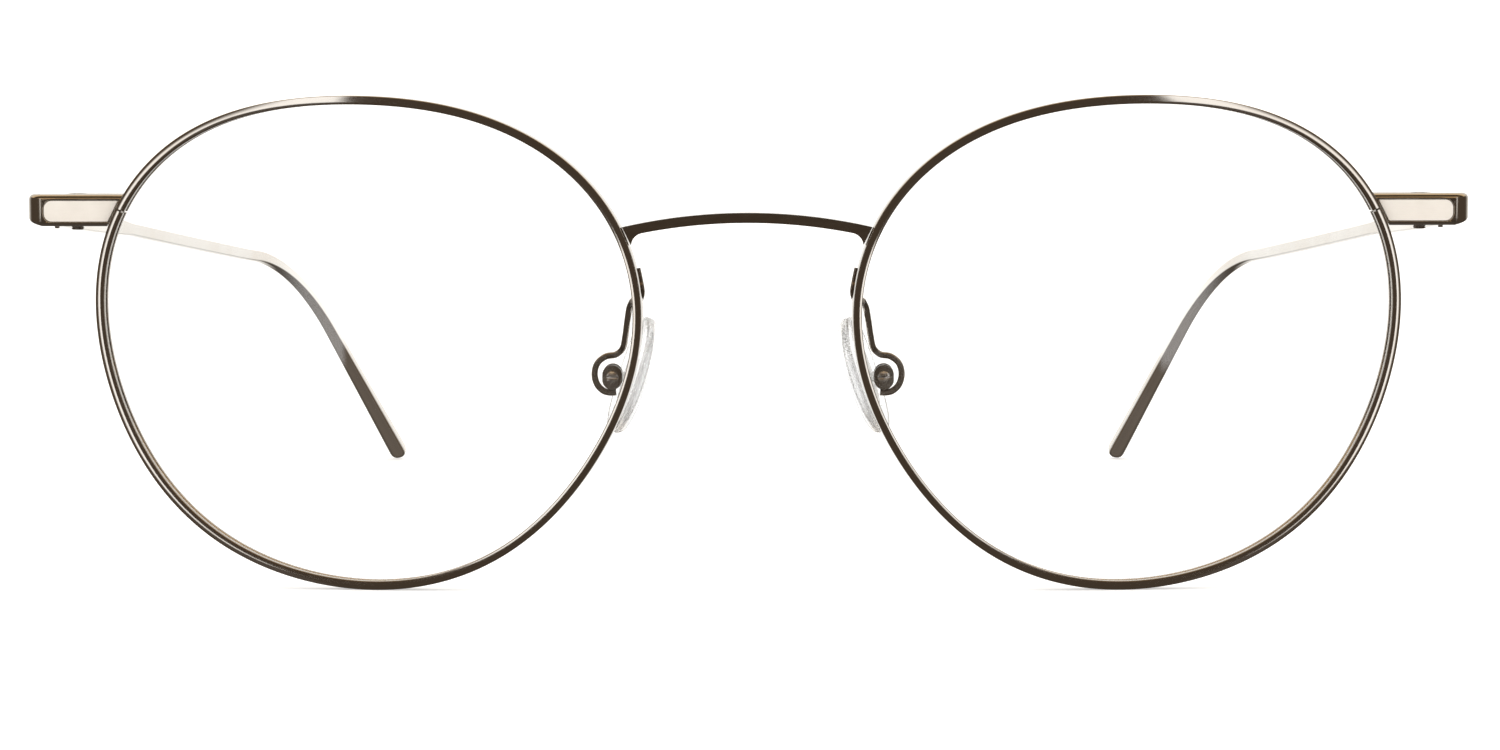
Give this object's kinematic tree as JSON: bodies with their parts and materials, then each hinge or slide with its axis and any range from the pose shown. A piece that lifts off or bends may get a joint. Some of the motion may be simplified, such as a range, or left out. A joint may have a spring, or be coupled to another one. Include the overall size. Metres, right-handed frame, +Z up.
{
  "type": "eyeglasses",
  "caption": "Round full-rim wire eyeglasses with slim folding temples, clear lenses and rocking silicone nose pads on wire arms.",
  "frame": {"origin": "centre of the footprint box of the open glasses, on the table under the rims and temple tips", "axes": "+X to the wearer's left, +Y from the lenses back to the temple tips, +Z up"},
  "size_m": [0.1374, 0.1368, 0.0469],
  "materials": {
    "frame_metal": "mirror-polished gunmetal plating",
    "inlay_metal": "fine brushed, bright",
    "lock_metal": "plated, less polished at the back",
    "hinge_metal": "plated, satin on turned faces",
    "screw_steel": "turned, slotted heads",
    "temple_metal": "polished, slightly warm",
    "pad_arm_metal": "mirror-polished gunmetal plating",
    "lens_clear": "clear, both faces polished",
    "pad_silicone": "clear soft silicone, smooth",
    "pad_core_plastic": "translucent moulded insert"
  },
  "bodies": {
    "front": {"rim_left": "frame_metal", "rim_right": "frame_metal", "lens_left": "lens_clear", "lens_right": "lens_clear", "bridge": "frame_metal", "endpiece_left": "frame_metal", "endpiece_right": "frame_metal", "endpiece_inlay_left": "inlay_metal", "endpiece_inlay_right": "inlay_metal", "closing_block_upper_left": "lock_metal", "closing_block_upper_right": "lock_metal", "closing_block_lower_left": "lock_metal", "closing_block_lower_right": "lock_metal", "closing_screw_left": "screw_steel", "closing_screw_right": "screw_steel", "front_hinge_left": "hinge_metal", "front_hinge_right": "hinge_metal", "hinge_screw_left": "screw_steel", "hinge_screw_right": "screw_steel", "pad_arm_left": "pad_arm_metal", "pad_arm_right": "pad_arm_metal", "pad_box_left": "pad_arm_metal", "pad_box_right": "pad_arm_metal", "pad_screw_left": "screw_steel", "pad_screw_right": "screw_steel"},
    "left_temple": {"temple_left": "temple_metal", "temple_hinge_left": "hinge_metal"},
    "right_temple": {"temple_right": "temple_metal", "temple_hinge_right": "hinge_metal"},
    "left_pad": {"nose_pad_left": "pad_silicone", "pad_core_left": "pad_core_plastic"},
    "right_pad": {"nose_pad_right": "pad_silicone", "pad_core_right": "pad_core_plastic"}
  },
  "joints": [
    {"name": "left_temple_fold", "type": "hinge", "parent": "front", "child": "left_temple", "pos_m": [0.0665, -0.05812, 0.036], "axis": [0, 0.0985, 0.9951], "range_deg": [0, 79.5]},
    {"name": "right_temple_fold", "type": "hinge", "parent": "front", "child": "right_temple", "pos_m": [-0.0665, -0.05812, 0.036], "axis": [0, -0.0985, -0.9951], "range_deg": [0, 70]},
    {"name": "left_pad_rock", "type": "hinge", "parent": "front", "child": "left_pad", "pos_m": [0.01306, -0.05862, 0.0198], "axis": [0, 1, 0], "range_deg": [-10, 10]},
    {"name": "right_pad_rock", "type": "hinge", "parent": "front", "child": "right_pad", "pos_m": [-0.01306, -0.05862, 0.0198], "axis": [0, 1, 0], "range_deg": [-10, 10]}
  ]
}
